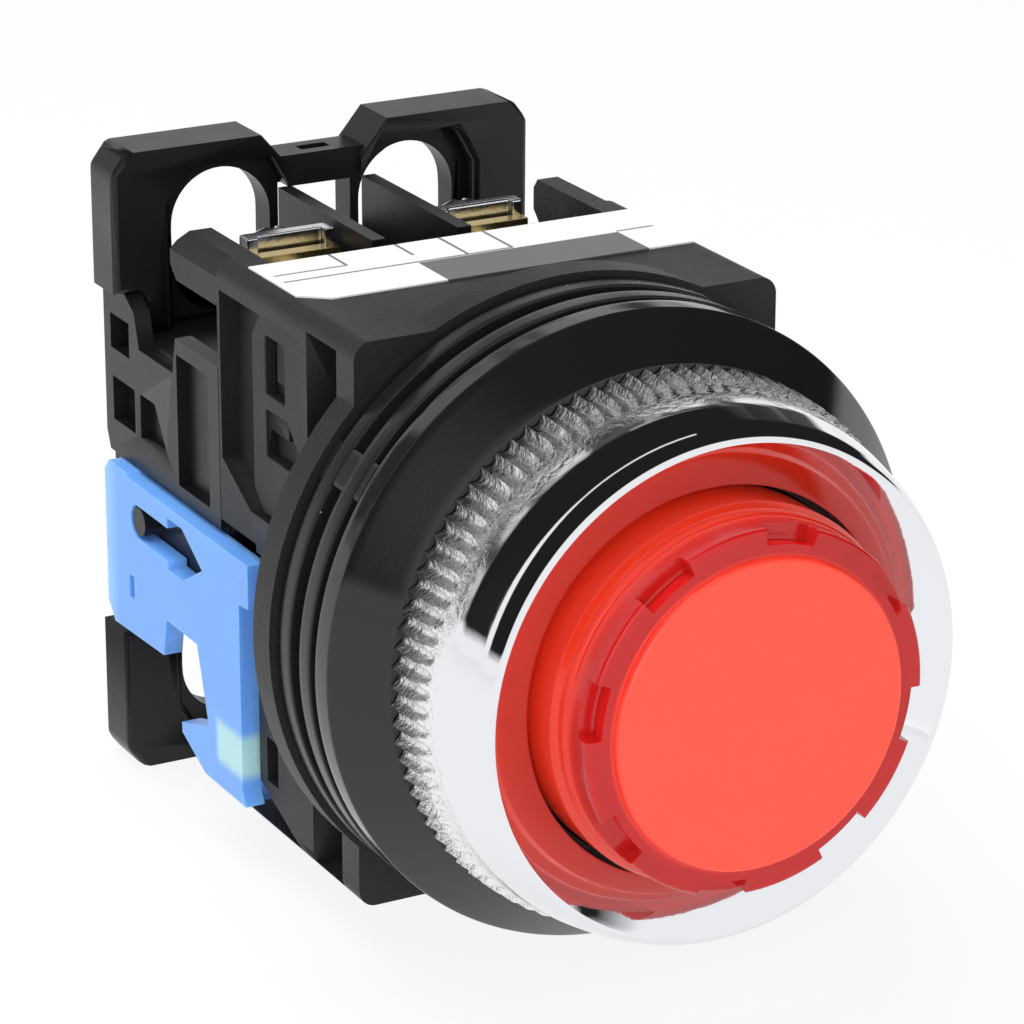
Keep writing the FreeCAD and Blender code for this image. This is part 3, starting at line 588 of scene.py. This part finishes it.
# A copy of the node's mesh with its flat faces joined up again and its sharp edges rounded
# by the bevel, so that corners catch light as moulded ones do.
def mouldedCopy(name, node, width, plainHalf=0.0, turnDegrees=32, segments=2):
    mesh = nodes[node].data.copy()
    mesh.name = name
    shape = bmesh.new()
    shape.from_mesh(mesh)
    bmesh.ops.remove_doubles(shape, verts=shape.verts, dist=0.002 * mm)
    bmesh.ops.dissolve_limit(shape, angle_limit=math.radians(1.0), verts=shape.verts, edges=shape.edges)
    shape.to_mesh(mesh)
    shape.free()
    piece = makeObject(name, mesh)
    smoothBySharpness(mesh, turnDegrees)
    weighSharpEdges(mesh, width, plainHalf)
    if mesh.attributes.get("custom_normal"):
        mesh.attributes.remove(mesh.attributes["custom_normal"])
    bevel = piece.modifiers.new("edges", "BEVEL")
    bevel.width = width * mm
    bevel.segments = segments
    bevel.limit_method = "WEIGHT"
    bevel.harden_normals = True
    bevel.use_clamp_overlap = plainHalf == 0
    bevel.miter_outer = "MITER_ARC"
    return piece


def bodyOf(node):
    return next(body for body, members in frame["record"]["behaviour"]["bodies"].items() if node in members)


# Each entry: node, width of the rounded edges in mm, half width of the part left sharp, finish.
mouldedPieces = {
    "operatorHousing": ("operator_housing", 0.2, 0.0, "housingPlastic"),
    "contactCase": ("contact_case", 0.14, 0.0, "casePlastic"),
    "guardTop": ("terminal_guard_top", 0.5, 5.5, "casePlastic"),
    "guardBottom": ("terminal_guard_bottom", 0.5, 5.5, "casePlastic"),
    "latchPlateLeft": ("latch_plate_left", 0.12, 0.0, "housingPlastic"),
    "latchPlateRight": ("latch_plate_right", 0.12, 0.0, "housingPlastic"),
}
for pieceName, (node, width, plainHalf, finish) in mouldedPieces.items():
    finishPiece(mouldedCopy(pieceName, node, width, plainHalf), bodyOf(node), "black_plastic",
                materials[finish], node)
pressedEdges = {"washer": 0.22, "screw": 0.1, "terminal": 0.1}
for level in ("Top", "Bottom"):
    for side in ("Left", "Right"):
        spot = level.lower() + "_" + side.lower()
        for pieceName, nodePrefix, edge in (("clampWasher", "clamp_washer_", pressedEdges["washer"]),
                                            ("terminalScrew", "terminal_screw_", pressedEdges["screw"])):
            finishPiece(mouldedCopy(pieceName + level + side, nodePrefix + spot, edge), "housing",
                        "zinc_steel", materials["zincSteel"], nodePrefix + spot)
    for kind in ("contact", "lamp"):
        node = kind + "_terminal_" + level.lower()
        finishPiece(mouldedCopy(kind + "Terminal" + level, node, pressedEdges["terminal"]), "housing", "brass",
                    materials["brassPlate"], node)
print("moulded pieces made")

lever = {"colour": (0.15, 0.37, 0.86), "pale": (0.36, 0.62, 1.0), "patch": (0.42, 0.68, 0.72),
         "patchPlace": (24.5, -15.6), "patchHalf": (4.4, 1.6), "edge": 0.22}


# Milky blue; paler towards the thin outer edges, with a greenish patch low on the foot.
def makeBluePlastic():
    material, tree, shader = startMaterial("bluePlastic")
    low, high = nodeBox("lock_lever")
    place = tree.nodes.new("ShaderNodeSeparateXYZ")
    tree.links.new(millimetres(tree), place.inputs[0])
    x, y, z = place.outputs
    grain = useGroup(tree, grainGroup, {"Fineness": 3.0, "Patch": 0.22})
    rearEdge = useGroup(tree, bandGroup, {"Value": y, "Centre": high[1], "Half": 1.0, "Soft": 2.5})["Mask"]
    body = mixColour(tree, mathNode(tree, "MULTIPLY", rearEdge, 0.8), lever["colour"], lever["pale"])
    patchY = useGroup(tree, bandGroup, {"Value": y, "Centre": lever["patchPlace"][0],
                                        "Half": lever["patchHalf"][0], "Soft": 0.8})["Mask"]
    patchZ = useGroup(tree, bandGroup, {"Value": z, "Centre": lever["patchPlace"][1],
                                        "Half": lever["patchHalf"][1], "Soft": 0.8})["Mask"]
    body = mixColour(tree, mathNode(tree, "MULTIPLY", patchY, patchZ), body, lever["patch"])
    tone = mathNode(tree, "MULTIPLY_ADD", grain["Tone"], 0.3, 0.85)
    tree.links.new(mixColour(tree, 1.0, body, tone, "MULTIPLY"), shader.inputs["Base Color"])
    tree.links.new(mathNode(tree, "MULTIPLY_ADD", grain["Tone"], 0.15, 0.3), shader.inputs["Roughness"])
    shader.inputs["Subsurface Weight"].default_value = 0.5
    shader.inputs["Subsurface Radius"].default_value = (0.3, 0.5, 1.0)
    shader.inputs["Subsurface Scale"].default_value = 1.5 * mm
    addBump(tree, shader, grain["Height"], 0.004)
    return material


materials["bluePlastic"] = makeBluePlastic()
finishPiece(mouldedCopy("lockLever", "lock_lever", lever["edge"]), "lever", "blue_plastic", materials["bluePlastic"],
            "lock_lever")
print("lever made")

label = {"line": 0.13, "soft": 0.05, "grey": (0.10, 0.10, 0.105), "ink": (0.03, 0.03, 0.03),
         "greyX": (-4.35, 11.6), "greyDepth": 4.5, "ruleDepth": 4.7, "rules": (-9.0, -3.8), "cells": (-0.3, 3.2)}


# Ruled fields: a mask is the largest of soft bands along x and y, each held to its own field.
def makeLabelPrint():
    material, tree, shader = startMaterial("labelPrint")
    low, high = nodeBox("rating_label")
    place = tree.nodes.new("ShaderNodeSeparateXYZ")
    tree.links.new(millimetres(tree), place.inputs[0])
    x, y, z = place.outputs

    def band(value, low, high, soft=label["soft"]):
        return useGroup(tree, bandGroup, {"Value": value, "Centre": (low + high) / 2, "Half": (high - low) / 2,
                                          "Soft": soft})["Mask"]

    def field(xLow, xHigh, yLow, yHigh):
        return mathNode(tree, "MULTIPLY", band(x, xLow, xHigh), band(y, yLow, yHigh))

    width = label["line"]
    front, rear = low[1], high[1]
    ruleY, greyTop = front + label["ruleDepth"], front + label["greyDepth"]
    grey = field(label["greyX"][0], label["greyX"][1], front - 1, greyTop)
    lines = [field(low[0] + 0.6, label["cells"][1], ruleY - width, ruleY + width),
             field(label["greyX"][1], high[0] - 0.6, ruleY - width, ruleY + width)]
    lines += [field(at - width, at + width, ruleY + 1.6, rear) for at in label["rules"]]
    lines += [field(low[0] + 0.6, label["rules"][0], ruleY + 1.6 - width, ruleY + 1.6 + width)]
    lines += [field(at - width, at + width, ruleY, rear) for at in label["cells"]]
    mask = lines[0]
    for line in lines[1:]:
        mask = mathNode(tree, "MAXIMUM", mask, line)
    grain = useGroup(tree, grainGroup, {"Fineness": 7.0, "Patch": 0.4})
    paper = mathNode(tree, "MULTIPLY_ADD", grain["Tone"], 0.06, 0.70)
    colour = mixColour(tree, grey, paper, label["grey"])
    colour = mixColour(tree, mathNode(tree, "MULTIPLY", mask, 0.85), colour, label["ink"])
    tree.links.new(colour, shader.inputs["Base Color"])
    tree.links.new(mathNode(tree, "MULTIPLY_ADD", grain["Tone"], 0.1, 0.35), shader.inputs["Roughness"])
    addBump(tree, shader, grain["Height"], 0.003)
    return material


materials["labelPrint"] = makeLabelPrint()

plainNodes = {
    "rating_label": "labelPrint", "light_diffuser": "innerWhite", "lens_holder": "innerWhite",
    "plunger_seal": "gasketRubber", "return_spring": "springSteel", "contact_spring": "springSteel",
    "lamp_socket": "innerWhite", "lamp_base": "zincSteel", "lamp_globe": "lampGlass",
    "lamp_contact": "brassPlate", "contact_plunger": "innerWhite", "moving_contact": "brassPlate",
    "fixed_contact_top": "silverTip", "fixed_contact_bottom": "silverTip",
    "lamp_strip_top": "brassPlate", "lamp_strip_bottom": "brassPlate"}
for node, finish in plainNodes.items():
    nodes[node].data.materials.clear()
    nodes[node].data.materials.append(materials[finish])
print("label and inner pieces finished")

studio = {"floorSize": 4.0, "floorWhite": 0.88, "diffuseLevel": 0.5, "darkLevel": 0.015,
          "horizon": 0.10, "horizonSoft": 0.06, "stripPlace": 0.40, "stripHalf": 0.03, "stripWiden": 0.16,
          "frontFrom": -0.5, "frontSoft": 0.12, "backFrom": 0.68, "backSoft": 0.1, "backLevel": 0.95,
          "patchScale": 4.0, "patchSharpness": 9.0, "patchDark": 0.1}


def makeFloor():
    half = studio["floorSize"] / 2
    mesh = bpy.data.meshes.new("floor")
    mesh.from_pydata([(-half, -half, floorHeight), (half, -half, floorHeight), (half, half, floorHeight),
                      (-half, half, floorHeight)], [], [(0, 1, 2, 3)])
    floor = makeObject("floor", mesh)
    material, tree, shader = startMaterial("paleFloor")
    shader.inputs["Base Color"].default_value = (0.8, 0.8, 0.8, 1)
    shader.inputs["Roughness"].default_value = 0.9
    shader.inputs["Specular IOR Level"].default_value = 0.1
    white = tree.nodes.new("ShaderNodeEmission")
    white.inputs["Strength"].default_value = 1.0
    rays = tree.nodes.new("ShaderNodeLightPath")
    seen = mathNode(tree, "MAXIMUM", rays.outputs["Is Camera Ray"],
                    mathNode(tree, "MAXIMUM", rays.outputs["Is Glossy Ray"], rays.outputs["Is Transmission Ray"]))
    mix = tree.nodes.new("ShaderNodeMixShader")
    tree.links.new(mathNode(tree, "MULTIPLY", seen, studio["floorWhite"]), mix.inputs[0])
    tree.links.new(shader.outputs[0], mix.inputs[1])
    tree.links.new(white.outputs[0], mix.inputs[2])
    tree.links.new(mix.outputs[0], tree.nodes["Material Output"].inputs[0])
    mesh.materials.append(material)


# For mirror-like rays the sky is white below and at the horizon and dark above, with one long
# strip overhead and a patchy panel at the back. Every other ray sees an even pale sky.
def makeWorld():
    world = bpy.data.worlds.new("studio")
    bpy.context.scene.world = world
    world.use_nodes = True
    tree = world.node_tree
    background = tree.nodes["Background"]
    where = tree.nodes.new("ShaderNodeTexCoord")
    place = tree.nodes.new("ShaderNodeSeparateXYZ")
    tree.links.new(where.outputs["Generated"], place.inputs[0])
    x, y, z = place.outputs
    low = mathNode(tree, "MULTIPLY_ADD", z, -1 / studio["horizonSoft"],
                   studio["horizon"] / studio["horizonSoft"] + 0.5, clamp=True)
    widened = mathNode(tree, "MULTIPLY_ADD", mathNode(tree, "SUBTRACT", -0.35, x, clamp=True),
                       studio["stripWiden"], studio["stripHalf"])
    strip = useGroup(tree, bandGroup, {"Value": y, "Centre": studio["stripPlace"], "Half": widened,
                                       "Soft": 0.04})["Mask"]
    strip = mathNode(tree, "MULTIPLY", strip, mathNode(tree, "LESS_THAN", x, 0.35))
    panel = mathNode(tree, "MULTIPLY_ADD", y, 1 / studio["backSoft"],
                     0.5 - studio["backFrom"] / studio["backSoft"], clamp=True)
    front = mathNode(tree, "MULTIPLY_ADD", y, -1 / studio["frontSoft"],
                     studio["frontFrom"] / studio["frontSoft"] + 0.5, clamp=True)
    patches = mathNode(tree, "MULTIPLY_ADD", noiseNode(tree, where.outputs["Generated"], studio["patchScale"]),
                       studio["patchSharpness"], 0.5 - 0.5 * studio["patchSharpness"], clamp=True)
    patches = mathNode(tree, "MULTIPLY_ADD", patches, 1 - studio["patchDark"], studio["patchDark"])
    panel = mathNode(tree, "MULTIPLY", panel, patches)
    bright = mathNode(tree, "MAXIMUM", mathNode(tree, "MAXIMUM", low, front),
                      mathNode(tree, "MAXIMUM", strip, mathNode(tree, "MULTIPLY", panel, studio["backLevel"])))
    mirrored = mathNode(tree, "ADD", mathNode(tree, "MULTIPLY", bright, 1 - studio["darkLevel"]), studio["darkLevel"])
    rays = tree.nodes.new("ShaderNodeLightPath")
    plain = mathNode(tree, "MAXIMUM", rays.outputs["Is Camera Ray"], rays.outputs["Is Transmission Ray"])
    level = mathNode(tree, "MULTIPLY_ADD", plain, 1 - studio["diffuseLevel"], studio["diffuseLevel"])
    glossy = rays.outputs["Is Glossy Ray"]
    kept = mathNode(tree, "MULTIPLY", level, mathNode(tree, "SUBTRACT", 1.0, glossy))
    strength = mathNode(tree, "ADD", kept, mathNode(tree, "MULTIPLY", mirrored, glossy))
    tree.links.new(strength, background.inputs["Strength"])
    background.inputs["Color"].default_value = (1, 1, 1, 1)


# Each entry: place, size of the panel, power.
lamps = {"topPanel": ((-0.10, 0.10, 0.45), (0.35, 0.35), 2.2),
         "frontPanel": ((-0.25, -0.45, 0.12), (0.4, 0.4), 2.2)}


def addLamp(name, place, aim, size, power):
    data = bpy.data.lights.new(name, "AREA")
    data.shape = "RECTANGLE"
    data.size, data.size_y = size
    data.energy = power
    lamp = bpy.data.objects.new(name, data)
    bpy.context.scene.collection.objects.link(lamp)
    lamp.location = place
    lamp.rotation_euler = (Vector(aim) - Vector(place)).to_track_quat("-Z", "Y").to_euler()
    lamp.visible_camera = False
    lamp.visible_glossy = False


view = {"focalLength": 153.17, "sensor": 36.0, "shift": (0.0226, -0.0243),
        "place": (-136.64, -236.54, 108.99), "direction": (0.44256, 0.82950, -0.34069)}


def addCamera():
    data = bpy.data.cameras.new("camera")
    data.lens = view["focalLength"]
    data.sensor_width = view["sensor"]
    data.shift_x, data.shift_y = view["shift"]
    data.clip_start = 0.01
    data.clip_end = 20.0
    camera = bpy.data.objects.new("camera", data)
    bpy.context.scene.collection.objects.link(camera)
    camera.location = Vector(view["place"]) * mm
    camera.rotation_euler = Vector(view["direction"]).to_track_quat("-Z", "Y").to_euler()
    bpy.context.scene.camera = camera


makeFloor()
makeWorld()
middle = (cadBox[0] + cadBox[1]) / 2
for lampName, (place, size, power) in lamps.items():
    addLamp(lampName, place, middle, size, power)
addCamera()
bpy.context.scene.view_settings.view_transform = "Standard"
print("studio made")
